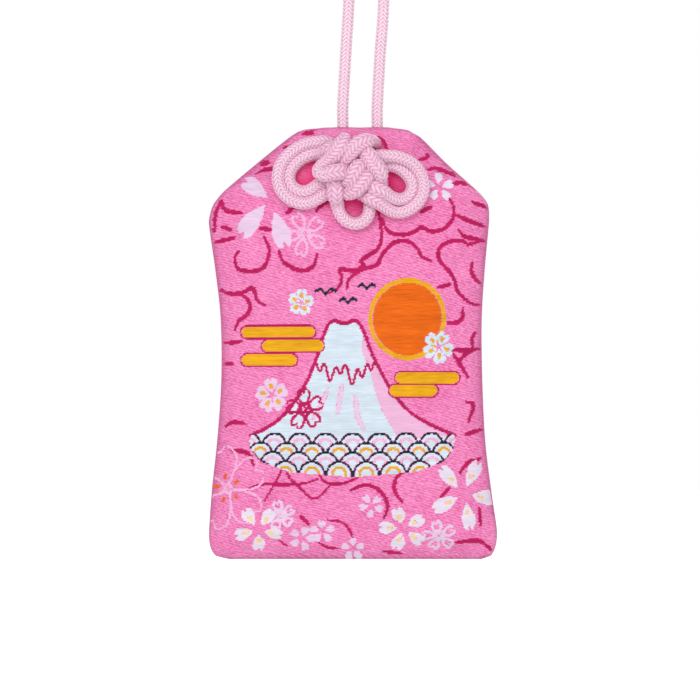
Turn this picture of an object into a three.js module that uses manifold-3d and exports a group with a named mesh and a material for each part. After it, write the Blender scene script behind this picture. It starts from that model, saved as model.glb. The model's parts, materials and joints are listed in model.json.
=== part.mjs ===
// Omamori charm: a padded brocade pouch on a braided hanging cord.
// Millimetres, +Z up. The front faces -Y. The origin is the hang point, inside the cord loop
// just under its end knot.
import * as THREE from 'three';
import Module from 'manifold-3d';

const wasm = await Module();
wasm.setup();

// Driving dimensions
const POUCH_HEIGHT = 75;
const BOTTOM_WIDTH = 49.8;
const SHOULDER_WIDTH = 48.6;
const WAIST_WIDTH = 45.2;
const MOUTH_WIDTH = 20.8;
const SHOULDER_DROP = 15.2;
const SHOULDER_ROUND = 4.2;
const BOTTOM_ROUND = 3;
const MOUTH_ROUND = 2.2;
const HALF_THICKNESS = 3.8;
const CROWN_INSET = 6;
const HEM_DEPTH = 4.5;
const LIP_STRAIGHT = 1.4;
const LIP_FLARE = 10;
const SEAM_TOP_DROP = 4;
const BROCADE = 0.5;
const INTERLINING = 0.25;
const CARD = 0.8;
const WADDING = 1.7;
const PAPER = 0.2;
const CORD_D = 2;
const THREAD_D = 0.4;
const LOOP_LENGTH = 58;
const LOOP_OFFSET = 1.5;
const STRAND_SPACING = 6;
const HOLE_DROP = 2.55;
const WRAPPER_WIDTH = 28;
const WRAPPER_HEIGHT = 46;
const WRAPPER_DROP = 14;
const SLIP_MARGIN = 2.5;
const END_KNOT_RISE = 6.5;
const END_KNOT_PITCH = 1.75;
const TAIL_LENGTH = 8;
const TAIL_SPLAY = 1.2;
const TWIST_DROP = 3;

// Clearances
const GAP = 0.3;
const HOLE_GAP = 0.5;
const WOUND_GAP = 0.6;

// Derived
const CORD_R = CORD_D / 2;
const POUCH_X = -LOOP_OFFSET;
const MOUTH_Z = -LOOP_LENGTH;
const CENTRE_V = -POUCH_HEIGHT / 2;
const SEAM_HALF = THREAD_D / 2 + GAP;
const MOUTH_HALF = CORD_R + GAP;
const HINGE_Z = MOUTH_Z + CORD_R + GAP;
const INNER_FACE = HALF_THICKNESS - BROCADE;
const WOUND_PITCH = CORD_D + WOUND_GAP;
const LAYER = 0.8 * WOUND_PITCH;
const KNOT_FLOOR = -(HALF_THICKNESS + GAP + CORD_R);

// The pouch outline, right half from the bottom centre to the mouth centre.
// u runs right from the pouch's centre line, v runs up from the mouth edge.
function halfOutline() {
  const bottom = BOTTOM_WIDTH / 2;
  const shoulder = SHOULDER_WIDTH / 2;
  const mouth = MOUTH_WIDTH / 2;
  const waistPull = (4 * WAIST_WIDTH - bottom - shoulder) / 6;
  const low = -POUCH_HEIGHT;
  const slope = new THREE.Vector2(mouth - shoulder, SHOULDER_DROP - MOUTH_ROUND / 2).normalize();
  const corner = new THREE.Vector2(shoulder, -SHOULDER_DROP + SHOULDER_ROUND / 2);
  const path = new THREE.Path();
  path.moveTo(0, low);
  path.lineTo(bottom - BOTTOM_ROUND, low);
  path.quadraticCurveTo(bottom, low, bottom, low + BOTTOM_ROUND * 1.6);
  path.bezierCurveTo(
    waistPull, low * 0.7,
    waistPull, low * 0.45,
    shoulder, -SHOULDER_DROP - SHOULDER_ROUND / 4,
  );
  path.quadraticCurveTo(
    corner.x + 0.2, corner.y,
    corner.x + slope.x * SHOULDER_ROUND * 0.7, corner.y + slope.y * SHOULDER_ROUND * 0.7,
  );
  path.lineTo(mouth - slope.x * MOUTH_ROUND, -MOUTH_ROUND / 2 - slope.y * MOUTH_ROUND / 2);
  path.quadraticCurveTo(mouth, -MOUTH_ROUND / 5, mouth - MOUTH_ROUND, -MOUTH_ROUND / 8);
  path.quadraticCurveTo(mouth / 2, 0, 0, 0);
  const counts = [4, 4, 12, 4, 5, 3, 5];
  const points = [];
  path.curves.forEach((curve, index) => {
    const part = curve.getPoints(counts[index]);
    points.push(...(index === 0 ? part : part.slice(1)));
  });
  return points;
}

function fullOutline() {
  const right = halfOutline();
  const left = right.slice(1, -1).map((p) => new THREE.Vector2(-p.x, p.y)).reverse();
  return right.concat(left);
}

const OUTLINE = fullOutline();

// The outline drawn in by an inset, scaled about the pouch's middle.
function insetPoint(p, inset) {
  const kx = 1 - inset / (BOTTOM_WIDTH / 2);
  const kz = 1 - inset / (POUCH_HEIGHT / 2);
  return new THREE.Vector2(p.x * kx, CENTRE_V + (p.y - CENTRE_V) * kz);
}

// Half the gap between the two lips: wide enough for the cord at the mouth, a seam elsewhere.
function lipHalf(v) {
  const open = THREE.MathUtils.smoothstep(v, -LIP_FLARE, -LIP_STRAIGHT);
  return SEAM_HALF + (MOUTH_HALF - SEAM_HALF) * open;
}

function ring(inset, depthAt) {
  return OUTLINE.map((p) => {
    const q = insetPoint(p, inset);
    return new THREE.Vector3(POUCH_X + q.x, depthAt(p), MOUTH_Z + q.y);
  });
}

// A closed body from rings of equal count, shut by a point at each end.
function bodyFromRings(rings) {
  const count = rings[0].length;
  const positions = [];
  const index = [];
  const centre = (r) => r.reduce((s, p) => s.add(p), new THREE.Vector3()).divideScalar(count);
  rings.forEach((r) => r.forEach((p) => positions.push(p.x, p.y, p.z)));
  const first = rings.length * count;
  const startPoint = centre(rings[0]);
  const endPoint = centre(rings[rings.length - 1]);
  positions.push(startPoint.x, startPoint.y, startPoint.z, endPoint.x, endPoint.y, endPoint.z);
  for (let k = 0; k < count; k += 1) {
    const n = (k + 1) % count;
    index.push(first, n, k);
    const base = (rings.length - 1) * count;
    index.push(first + 1, base + k, base + n);
    for (let r = 0; r + 1 < rings.length; r += 1) {
      const a = r * count + k;
      const b = r * count + n;
      const c = a + count;
      const d = b + count;
      index.push(a, b, c, b, d, c);
    }
  }
  const geometry = new THREE.BufferGeometry();
  geometry.setAttribute('position', new THREE.Float32BufferAttribute(positions, 3));
  geometry.setIndex(index);
  return facingOut(geometry);
}

function signedVolume(geometry) {
  const p = geometry.getAttribute('position');
  const index = geometry.getIndex();
  const a = new THREE.Vector3();
  const b = new THREE.Vector3();
  const c = new THREE.Vector3();
  let sum = 0;
  for (let i = 0; i < index.count; i += 3) {
    a.fromBufferAttribute(p, index.getX(i));
    b.fromBufferAttribute(p, index.getX(i + 1));
    c.fromBufferAttribute(p, index.getX(i + 2));
    sum += a.dot(b.cross(c));
  }
  return sum / 6;
}

function facingOut(geometry) {
  if (signedVolume(geometry) < 0) {
    const index = geometry.getIndex();
    for (let i = 0; i < index.count; i += 3) {
      const keep = index.getX(i + 1);
      index.setX(i + 1, index.getX(i + 2));
      index.setX(i + 2, keep);
    }
  }
  geometry.computeVertexNormals();
  return geometry;
}

// One brocade panel: flat middle, crowned edge, and a hem turned in along the seam.
// side is -1 for the front panel and +1 for the back panel.
function panelGeometry(side) {
  const steps = [90, 72, 54, 36, 20, 8, 0].map(THREE.MathUtils.degToRad);
  const rings = [];
  steps.forEach((angle) => {
    const rise = Math.sin(angle);
    const inset = CROWN_INSET * (1 - Math.cos(angle));
    rings.push(ring(inset, (p) => {
      const lip = lipHalf(p.y);
      return side * (lip + (HALF_THICKNESS - lip) * rise);
    }));
  });
  rings.push(ring(HEM_DEPTH, (p) => side * lipHalf(p.y)));
  rings.push(ring(HEM_DEPTH, (p) => side * (lipHalf(p.y) + BROCADE)));
  const inner = [20, 36, 54, 72, 90].map(THREE.MathUtils.degToRad);
  inner.forEach((angle) => {
    const rise = Math.sin(angle);
    const inset = CROWN_INSET - (CROWN_INSET - BROCADE) * Math.cos(angle);
    rings.push(ring(inset, (p) => {
      const lip = lipHalf(p.y) + BROCADE;
      return side * (lip + (INNER_FACE - lip) * rise);
    }));
  });
  return bodyFromRings(rings);
}

// A flat sheet in the outline's shape between two depths.
function sheetGeometry(inset, near, far) {
  return bodyFromRings([ring(inset, () => near), ring(inset, () => far)]);
}

// A soft pad: the same, with its edges rounded over.
function padGeometry(inset, near, far) {
  const half = (far - near) / 2;
  const middle = (far + near) / 2;
  const angles = [-90, -60, -30, 0, 30, 60, 90].map(THREE.MathUtils.degToRad);
  const rings = angles.map((angle) => {
    const drawn = inset + half * (1 - Math.cos(angle));
    return ring(drawn, () => middle + half * Math.sin(angle));
  });
  return bodyFromRings(rings);
}

function solid(geometry) {
  const p = geometry.getAttribute('position');
  const index = geometry.getIndex();
  const seen = new Map();
  const vertices = [];
  const remap = [];
  for (let i = 0; i < p.count; i += 1) {
    const xyz = [p.getX(i), p.getY(i), p.getZ(i)];
    const key = xyz.map((value) => Math.round(value * 1e4)).join(' ');
    if (!seen.has(key)) {
      seen.set(key, vertices.length / 3);
      vertices.push(...xyz);
    }
    remap.push(seen.get(key));
  }
  const triangles = [];
  for (let i = 0; i < index.count; i += 3) {
    const t = [0, 1, 2].map((k) => remap[index.getX(i + k)]);
    if (t[0] !== t[1] && t[1] !== t[2] && t[0] !== t[2]) {
      triangles.push(...t);
    }
  }
  return new wasm.Manifold(new wasm.Mesh({
    numProp: 3,
    vertProperties: new Float32Array(vertices),
    triVerts: new Uint32Array(triangles),
  }));
}

function geometryOf(manifold) {
  const mesh = manifold.getMesh();
  const geometry = new THREE.BufferGeometry();
  geometry.setAttribute('position', new THREE.Float32BufferAttribute(mesh.vertProperties, 3));
  geometry.setIndex(Array.from(mesh.triVerts));
  geometry.computeVertexNormals();
  return geometry;
}

// Points at an even step along a smooth curve through the given points.
function evenPoints(points, step) {
  const curve = new THREE.CatmullRomCurve3(points, false, 'centripetal');
  curve.arcLengthDivisions = points.length * 20;
  return curve.getSpacedPoints(Math.round(curve.getLength() / step));
}

// A round cord along its points. A ball end is a half sphere about the last point.
function cordGeometry(points, radius, sides, ballStart) {
  const last = points.length - 1;
  const tangents = points.map((p, i) => {
    const ahead = points[Math.min(i + 1, last)];
    const behind = points[Math.max(i - 1, 0)];
    return ahead.clone().sub(behind).normalize();
  });
  let normal = new THREE.Vector3(0, 1, 0);
  if (Math.abs(tangents[0].y) > 0.9) {
    normal.set(1, 0, 0);
  }
  const rings = [];
  const turn = (centre, size, tangent) => {
    const side = new THREE.Vector3().crossVectors(tangent, normal).normalize();
    const up = new THREE.Vector3().crossVectors(side, tangent);
    const out = [];
    for (let k = 0; k < sides; k += 1) {
      const angle = (2 * Math.PI * k) / sides;
      out.push(centre.clone()
        .addScaledVector(up, size * Math.cos(angle))
        .addScaledVector(side, size * Math.sin(angle)));
    }
    return out;
  };
  if (ballStart) {
    [75, 50, 25].map(THREE.MathUtils.degToRad).forEach((angle) => {
      const centre = points[0].clone().addScaledVector(tangents[0], -radius * Math.sin(angle));
      rings.push(turn(centre, radius * Math.cos(angle), tangents[0]));
    });
  }
  points.forEach((p, i) => {
    normal.addScaledVector(tangents[i], -normal.dot(tangents[i])).normalize();
    rings.push(turn(p, radius, tangents[i]));
  });
  return bodyFromRings(rings);
}

// Cords pushed apart until they clear one another, smoothed, and held near where they were laid.
function settle(chains, step, floor) {
  const laid = chains.map((chain) => chain.points.map((p) => p.clone()));
  const all = [];
  chains.forEach((chain, c) => chain.points.forEach((p, i) => {
    all.push({ p, c, i, fixed: i < chain.fixedStart || i >= chain.points.length - chain.fixedEnd });
  }));
  const near = Math.ceil((WOUND_PITCH * 1.7) / step);
  const gap = new THREE.Vector3();
  for (let round = 0; round < 500; round += 1) {
    chains.forEach((chain, c) => {
      const old = chain.points.map((p) => p.clone());
      for (let i = chain.fixedStart; i < chain.points.length - chain.fixedEnd; i += 1) {
        const middle = old[Math.max(i - 1, 0)].clone().add(old[Math.min(i + 1, old.length - 1)]);
        chain.points[i].lerp(middle.multiplyScalar(0.5), 0.25);
        chain.points[i].lerp(laid[c][i], 0.03);
      }
    });
    for (let pass = 0; pass < 2; pass += 1) {
      for (let m = 0; m < all.length; m += 1) {
        for (let n = m + 1; n < all.length; n += 1) {
          if (all[m].c === all[n].c && n - m < near) {
            continue;
          }
          gap.copy(all[m].p).sub(all[n].p);
          const distance = gap.length();
          if (distance < WOUND_PITCH) {
            gap.multiplyScalar((WOUND_PITCH - distance) / distance / 2);
            if (!all[m].fixed) {
              all[m].p.add(gap);
            }
            if (!all[n].fixed) {
              all[n].p.sub(gap);
            }
          }
        }
      }
      all.forEach((entry) => {
        if (!entry.fixed && floor !== null) {
          entry.p.y = Math.min(entry.p.y, floor);
        }
      });
    }
  }
}

// Least clear gap of wound cords to themselves and to each other.
function leastGap(chains, step) {
  const near = Math.ceil((WOUND_PITCH * 1.7) / step);
  let least = Infinity;
  chains.forEach((one, a) => chains.forEach((two, b) => {
    one.points.forEach((p, i) => two.points.forEach((q, j) => {
      if (b > a || (a === b && j - i >= near)) {
        least = Math.min(least, p.distanceTo(q) - CORD_D);
      }
    }));
  }));
  return least;
}

// The ornamental knot, laid by hand from the left hole to the right hole:
// u and v on the pouch's front, then the layer it runs in, counted from the cloth.
const KNOT_ROUTE = [
  [-1.3, -1.9, 1.6], [-1.5, -3.2, 2.0], [-1.8, -5.0, 2.0], [-2.1, -6.7, 1.0], [-2.3, -8.7, 1.0],
  [-2.4, -10.6, 1.6], [-2.4, -12.5, 0.6], [-2.1, -14.4, 0.0], [-1.0, -16.1, 0.0],
  [0.8, -16.8, 0.0], [2.5, -16.0, 0.0], [3.3, -14.4, 0.0], [3.2, -13.0, 0.0], [2.4, -11.6, 0.0],
  [1.0, -9.9, 0.0], [-0.3, -8.0, 0.0], [-1.5, -5.9, 0.0], [-2.6, -3.9, 0.0], [-4.3, -3.0, 0.0],
  [-6.7, -2.8, 0.0], [-9.3, -3.7, 0.0], [-11.4, -5.5, 0.0], [-12.5, -8.1, 0.0],
  [-12.0, -10.7, 0.0], [-10.4, -12.6, 0.0], [-7.9, -13.2, 0.0], [-5.5, -12.4, 0.0],
  [-3.6, -11.3, 0.0], [-1.8, -11.3, 0.8], [-0.3, -10.7, 1.6], [1.0, -9.8, 2.0], [2.4, -8.6, 2.0],
  [3.9, -7.4, 1.0], [5.7, -6.8, 0.3], [7.8, -7.3, 0.0], [9.5, -8.7, 0.0], [10.2, -10.4, 0.0],
  [9.3, -12.1, 0.0], [7.4, -12.8, 0.0], [5.5, -12.0, 0.5], [4.5, -10.2, 1.6], [4.1, -8.3, 2.0],
  [3.6, -6.2, 2.0], [2.5, -4.6, 1.0], [0.8, -4.0, 0.8], [-1.1, -4.2, 0.8], [-3.1, -4.6, 0.5],
  [-5.3, -5.0, 0.0], [-7.9, -5.8, 0.0], [-9.9, -7.3, 0.0], [-10.5, -9.0, 0.0],
  [-9.3, -10.6, 0.0], [-7.2, -11.2, 0.0], [-5.0, -10.6, 0.0], [-3.2, -10.0, 0.0],
  [-1.3, -10.2, 0.0], [0.4, -11.1, 0.0], [1.8, -11.8, 0.4], [3.4, -12.8, 0.5], [5.7, -14.0, 0.0],
  [8.1, -14.6, 0.0], [10.6, -13.8, 0.0], [12.1, -12.0, 0.0], [12.6, -9.6, 0.0],
  [11.7, -7.3, 0.0], [9.7, -5.7, 0.0], [7.2, -5.1, 0.0], [5.1, -5.2, 0.5], [3.4, -5.9, 1.0],
  [1.7, -6.8, 2.0], [-0.1, -7.8, 2.0], [-1.8, -8.5, 2.0], [-3.8, -8.5, 2.0], [-5.3, -8.2, 1.8],
  [-6.4, -7.3, 1.6], [-5.3, -6.3, 1.8], [-3.4, -6.2, 2.0], [-1.5, -6.1, 2.0], [-0.1, -5.3, 2.0],
  [1.1, -3.8, 2.2], [2.4, -2.6, 2.2], [3.9, -2.3, 1.6],
];

const HOLE_LEFT = LOOP_OFFSET - STRAND_SPACING / 2;
const HOLE_RIGHT = LOOP_OFFSET + STRAND_SPACING / 2;
const KNOT_STEP = 0.85;

// Down from the mouth between the lips, then forward through the hole in the front panel.
const INSIDE_ROUTE = [
  [0, 0], [0, -0.8], [-0.35, -1.75], [-1.3, -2.4], [-2.6, -HOLE_DROP],
  [KNOT_FLOOR + 1, -HOLE_DROP],
];

function knotPoints() {
  const place = (u, depth, v) => new THREE.Vector3(POUCH_X + u, depth, MOUTH_Z + v);
  const down = INSIDE_ROUTE.map(([depth, v]) => place(HOLE_LEFT, depth, v));
  const up = INSIDE_ROUTE.map(([depth, v]) => place(HOLE_RIGHT, depth, v)).reverse();
  const front = KNOT_ROUTE.map(([u, v, layer]) => place(u, KNOT_FLOOR - layer * LAYER, v));
  return evenPoints([...down, ...front, ...up], KNOT_STEP);
}

const knotCord = { points: knotPoints(), fixedStart: 6, fixedEnd: 6 };
settle([knotCord], KNOT_STEP, KNOT_FLOOR);
console.log('knot cord least gap', leastGap([knotCord], KNOT_STEP).toFixed(2));

// The end knot: both cords tied together in one overhand, laid by hand.
// across, up, then depth in cord layers.
const OVERHAND_ROUTE = [
  [0.2, -3.4, -0.2], [0.6, -2.4, -0.7], [0.9, -1.5, -1.0], [0.1, -0.8, -0.6], [-1.0, 0.0, 0.9],
  [-1.9, 0.9, 0.9], [-1.8, 1.8, 0.4], [-0.9, 2.1, -0.4], [0.4, 1.7, -1.0], [1.5, 1.0, -0.6],
  [1.9, 0.0, 0.0], [1.5, -1.0, 0.6], [0.4, -1.7, 1.0], [-0.9, -2.1, 0.4], [-1.8, -1.8, -0.4],
  [-1.9, -0.9, -0.9], [-1.0, 0.0, -0.9], [0.1, 0.8, 0.6], [0.9, 1.5, 1.0], [0.6, 2.4, 0.7],
  [0.2, 3.4, 0.2],
];
const END_STEP = 0.75;
const SIDE_STEP = CORD_R + GAP;
const STRAND_STEP = 1.6;

function endCordPoints(hand) {
  const last = OVERHAND_ROUTE.length - 1;
  const knot = OVERHAND_ROUTE.map(([across, up, layer], i) => {
    const end = Math.min(i, last - i);
    const angle = THREE.MathUtils.smoothstep(end, 0, 3) * (Math.PI / 2);
    return new THREE.Vector3(
      across * END_KNOT_PITCH + hand * SIDE_STEP * Math.cos(angle),
      layer * WOUND_PITCH + hand * SIDE_STEP * Math.sin(angle),
      END_KNOT_RISE + up * END_KNOT_PITCH,
    );
  });
  const bottom = new THREE.Vector3(hand * SIDE_STEP, 0, -TWIST_DROP + GAP / 2);
  const lead = new THREE.Vector3(hand * SIDE_STEP, 0, -TWIST_DROP + 1.6);
  const topRise = END_KNOT_RISE + OVERHAND_ROUTE[last][1] * END_KNOT_PITCH;
  const tail = [0.35, 1].map((share) => new THREE.Vector3(
    hand * (SIDE_STEP + TAIL_SPLAY * share),
    (hand * TAIL_SPLAY * share) / 2,
    topRise + TAIL_LENGTH * share,
  ));
  return evenPoints([bottom, lead, ...knot, ...tail], END_STEP);
}

const endLeft = { points: endCordPoints(-1), fixedStart: 4, fixedEnd: 3 };
const endRight = { points: endCordPoints(1), fixedStart: 4, fixedEnd: 3 };
settle([endLeft, endRight], END_STEP, null);
console.log('end knot least gap', leastGap([endLeft, endRight], END_STEP).toFixed(2));

// The two hanging strands, from the hinge at the mouth up to the twist under the end knot.
// Both lean a little to the right on the way up, then close on the end knot.
const STRAND_LEAN = 1.1;
const STRAND_ROUTE = [[0, 1, 0], [0.05, 1, 0], [0.2, 1, 0.4], [0.42, 1, 1], [0.7, 0.8, 0.6]];

function strandPoints(hand) {
  const top = -TWIST_DROP - GAP / 2;
  const rise = top - HINGE_Z;
  const route = STRAND_ROUTE.map(([share, width, lean]) => new THREE.Vector3(
    (hand * width * STRAND_SPACING) / 2 + lean * STRAND_LEAN, 0, HINGE_Z + share * rise,
  ));
  [4, 1.5, 0].forEach((below) => {
    route.push(new THREE.Vector3(hand * SIDE_STEP, 0, top - below));
  });
  return evenPoints(route, STRAND_STEP);
}

// The seam thread, down one side, along the bottom and up the other, inside the seam.
function seamPoints() {
  const inset = HEM_DEPTH / 2;
  const right = halfOutline().filter((p) => p.y < -SEAM_TOP_DROP);
  const left = right.slice(1).map((p) => new THREE.Vector2(-p.x, p.y));
  return right.reverse().concat(left).map((p) => {
    const q = insetPoint(p, inset);
    return new THREE.Vector3(POUCH_X + q.x, 0, MOUTH_Z + q.y);
  });
}

// Depth stack inside the pouch, front to back.
const frontInterliningNear = -INNER_FACE + GAP;
const frontInterliningFar = frontInterliningNear + INTERLINING;
const waddingNear = frontInterliningFar + GAP;
const waddingFar = waddingNear + WADDING;
const backInterliningFar = INNER_FACE - GAP;
const backInterliningNear = backInterliningFar - INTERLINING;
const cardFar = backInterliningNear - GAP;
const cardNear = cardFar - CARD;
const wrapperNear = waddingFar + GAP;
const wrapperFar = cardNear - GAP;

function rectangle(width, near, far) {
  const shape = new THREE.Shape();
  shape.moveTo(-width / 2, near);
  shape.lineTo(width / 2, near);
  shape.lineTo(width / 2, far);
  shape.lineTo(-width / 2, far);
  shape.closePath();
  return shape;
}

// A shape drawn in across and depth, stood upright from a height downwards.
function upright(shape, top, height) {
  const geometry = new THREE.ExtrudeGeometry(shape, { depth: height, bevelEnabled: false });
  geometry.translate(POUCH_X, 0, top - height);
  return geometry;
}

function wrapperGeometry() {
  const shape = rectangle(WRAPPER_WIDTH, wrapperNear, wrapperFar);
  shape.holes.push(rectangle(WRAPPER_WIDTH - 2 * PAPER, wrapperNear + PAPER, wrapperFar - PAPER));
  return upright(shape, MOUTH_Z - WRAPPER_DROP, WRAPPER_HEIGHT);
}

// The paper slip, folded once so that its two leaves lie face to face.
function slipGeometry() {
  const near = wrapperNear + PAPER + GAP;
  const far = wrapperFar - PAPER - GAP;
  const half = WRAPPER_WIDTH / 2 - PAPER - GAP;
  const shape = new THREE.Shape();
  shape.moveTo(half, near);
  shape.lineTo(half, near + PAPER);
  shape.lineTo(-half + PAPER, near + PAPER);
  shape.lineTo(-half + PAPER, far - PAPER);
  shape.lineTo(half, far - PAPER);
  shape.lineTo(half, far);
  shape.lineTo(-half, far);
  shape.lineTo(-half, near);
  shape.closePath();
  const top = MOUTH_Z - WRAPPER_DROP - SLIP_MARGIN;
  return upright(shape, top, WRAPPER_HEIGHT - 2 * SLIP_MARGIN);
}

function frontPanelGeometry() {
  let panel = solid(panelGeometry(-1));
  [HOLE_LEFT, HOLE_RIGHT].forEach((u) => {
    const reach = 2 * HALF_THICKNESS;
    const drill = new THREE.CylinderGeometry(CORD_R + HOLE_GAP, CORD_R + HOLE_GAP, reach, 24);
    drill.translate(POUCH_X + u, -reach / 2 - SEAM_HALF, MOUTH_Z - HOLE_DROP);
    panel = panel.subtract(solid(drill));
  });
  return geometryOf(panel);
}

const group = new THREE.Group();
group.name = 'omamori_charm';

function part(name, geometry, color, roughness) {
  const material = new THREE.MeshStandardMaterial({ color, roughness, metalness: 0 });
  const mesh = new THREE.Mesh(geometry, material);
  mesh.name = name;
  group.add(mesh);
}

const PINK = 0xf084b8;
const PALE_PINK = 0xf3cbdc;
const KNOT_SIDES = 8;
const STRAND_SIDES = 12;

part('front_panel', frontPanelGeometry(), PINK, 0.7);
part('back_panel', panelGeometry(1), PINK, 0.7);
part('front_interlining', sheetGeometry(HEM_DEPTH + GAP, frontInterliningNear, frontInterliningFar),
  0xf2eee6, 0.9);
part('back_interlining', sheetGeometry(HEM_DEPTH + GAP, backInterliningNear, backInterliningFar),
  0xf2eee6, 0.9);
part('wadding', padGeometry(HEM_DEPTH + 2 * GAP, waddingNear, waddingFar), 0xf7f5ef, 1);
part('slip_wrapper', wrapperGeometry(), 0xf4efe2, 0.85);
part('prayer_slip', slipGeometry(), 0xf8f4e8, 0.85);
part('stiffener_card', sheetGeometry(HEM_DEPTH + 2 * GAP, cardNear, cardFar), 0xcdb894, 0.9);
part('seam_thread', cordGeometry(seamPoints(), THREAD_D / 2, 6, false), 0xe77fb2, 0.6);
part('ornamental_knot', cordGeometry(knotCord.points, CORD_R, KNOT_SIDES, false), PALE_PINK, 0.6);
part('left_strand', cordGeometry(strandPoints(-1), CORD_R, STRAND_SIDES, true), PALE_PINK, 0.6);
part('right_strand', cordGeometry(strandPoints(1), CORD_R, STRAND_SIDES, true), PALE_PINK, 0.6);
part('end_knot_left', cordGeometry(endLeft.points, CORD_R, KNOT_SIDES, false), PALE_PINK, 0.6);
part('end_knot_right', cordGeometry(endRight.points, CORD_R, KNOT_SIDES, false), PALE_PINK, 0.6);

export default group;
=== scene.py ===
import json
import math

import bpy
import numpy as np
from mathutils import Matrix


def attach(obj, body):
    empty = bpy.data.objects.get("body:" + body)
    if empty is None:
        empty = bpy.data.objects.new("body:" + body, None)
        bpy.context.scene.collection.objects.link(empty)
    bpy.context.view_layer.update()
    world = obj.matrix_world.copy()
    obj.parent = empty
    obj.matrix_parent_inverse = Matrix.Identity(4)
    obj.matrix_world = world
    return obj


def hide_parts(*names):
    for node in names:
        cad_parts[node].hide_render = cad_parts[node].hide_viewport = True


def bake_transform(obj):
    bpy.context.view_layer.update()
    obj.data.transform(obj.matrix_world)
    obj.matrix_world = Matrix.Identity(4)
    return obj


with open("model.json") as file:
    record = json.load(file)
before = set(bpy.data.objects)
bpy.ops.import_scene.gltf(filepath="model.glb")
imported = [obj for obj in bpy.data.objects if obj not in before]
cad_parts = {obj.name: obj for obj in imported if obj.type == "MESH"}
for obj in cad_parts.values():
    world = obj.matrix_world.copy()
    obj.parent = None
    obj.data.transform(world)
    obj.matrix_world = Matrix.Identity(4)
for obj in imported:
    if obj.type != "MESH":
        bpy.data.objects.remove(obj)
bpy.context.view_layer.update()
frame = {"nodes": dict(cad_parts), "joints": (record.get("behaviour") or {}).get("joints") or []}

scene = bpy.context.scene
joints = {joint["name"]: joint for joint in frame["joints"]}

# Driving sizes in mm. u runs right and v up from the middle of the pouch's mouth, and y runs to the back.
MM = 0.001
POUCH_TALL = 75.0
POUCH_X = -1.5
MOUTH_Z = -58.0
HALF_THICK = 3.75
CROWN = 6.0
SEAM_HALF = 0.7
SEAM_SHADE_REACH = 0.3
CORD_R = 1.0
KNOT_R = 1.03
STRANDS_U = (-1.5, 4.5)
MOUTH_U = 1.0
HINGE_Z = joints["pouch_swing"]["pos_m"][2] / MM
TOP_Z = joints["cord_twist"]["pos_m"][2] / MM
SPLIT_Z = -32.5

# The photograph's frame, and the pouch's height and the middle of its mouth in it, in pixels.
PHOTO_SIDE = 700
PHOTO_TALL = 430
PHOTO_MOUTH = (351.5, 128.4)
PX = POUCH_TALL / PHOTO_TALL
LENS = 135
SENSOR = 36
CAMERA_AWAY = LENS / SENSOR * PHOTO_SIDE * PX


def srgb(red, green, blue):
    """A screen colour of 0 to 255 as the linear colour that a shader takes."""
    shares = [c / 255 for c in (red, green, blue)]
    return (*[c / 12.92 if c <= 0.04045 else ((c + 0.055) / 1.055) ** 2.4 for c in shares], 1.0)


def place(u, y, v):
    """Points of the frame, in mm, from the pouch's own coordinates."""
    x = POUCH_X + np.asarray(u, float)
    z = MOUTH_Z + np.asarray(v, float)
    return np.stack(np.broadcast_arrays(x, np.asarray(y, float), z), -1)


def px(x, y):
    """The u and v of the place on the pouch's front that a pixel of the photograph shows."""
    middle = PHOTO_SIDE / 2
    near = 1 - HALF_THICK / CAMERA_AWAY
    u = (middle - PHOTO_MOUTH[0] + (x - middle) * near) * PX
    v = (PHOTO_MOUTH[1] - middle - (y - middle) * near) * PX
    return u, v


def smooth(low, high, value):
    t = np.clip((np.asarray(value, float) - low) / (high - low), 0, 1)
    return t * t * (3 - 2 * t)


def unit(vectors):
    return vectors / np.maximum(np.linalg.norm(vectors, axis=-1, keepdims=True), 1e-9)


def run_along(points):
    """The distance along a line of points, from its first point."""
    return np.concatenate([[0], np.cumsum(np.linalg.norm(np.diff(points, axis=0), axis=1))])


def spline_weights(t):
    """Shares of the four points round a stretch of a smooth curve that passes through its points."""
    return np.stack([
        ((2 - t) * t - 1) * t / 2,
        ((3 * t - 5) * t * t + 2) / 2,
        ((4 - 3 * t) * t + 1) * t / 2,
        (t - 1) * t * t / 2,
    ], -1)


def even(points, step):
    """Points at an even step along a smooth curve through the given ones."""
    given = np.asarray(points, float)
    given = np.vstack([2 * given[0] - given[1], given, 2 * given[-1] - given[-2]])
    weights = spline_weights(np.linspace(0, 1, 16, endpoint=False))
    fine = np.concatenate([weights @ given[k:k + 4] for k in range(len(given) - 3)] + [given[-2:-1]])
    run = run_along(fine)
    stops = np.linspace(0, run[-1], max(2, round(run[-1] / step) + 1))
    return np.stack([np.interp(stops, run, fine[:, k]) for k in range(3)], -1)


def grid_faces(rows, cols):
    index = np.arange(rows * cols).reshape(rows, cols)
    return np.stack([index[:-1, :-1], index[:-1, 1:], index[1:, 1:], index[1:, :-1]], -1).reshape(-1, 4)


def new_object(name, verts, faces, material, uv=None, **values):
    """A smooth mesh object from points in mm, with its UVs and its named values at the points."""
    mesh = bpy.data.meshes.new(name)
    mesh.from_pydata((np.asarray(verts) * MM).tolist(), [], faces)
    if uv is not None:
        corners = np.zeros(len(mesh.loops), np.int32)
        mesh.loops.foreach_get("vertex_index", corners)
        mesh.uv_layers.new(name="UVMap").data.foreach_set("uv", np.asarray(uv, np.float32)[corners].ravel())
    for key, value in values.items():
        layer = mesh.attributes.new(key, "FLOAT", "POINT")
        layer.data.foreach_set("value", np.asarray(value, np.float32).ravel())
    mesh.polygons.foreach_set("use_smooth", [True] * len(mesh.polygons))
    mesh.materials.append(material)
    mesh.update()
    obj = bpy.data.objects.new(name, mesh)
    scene.collection.objects.link(obj)
    return obj


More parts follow.
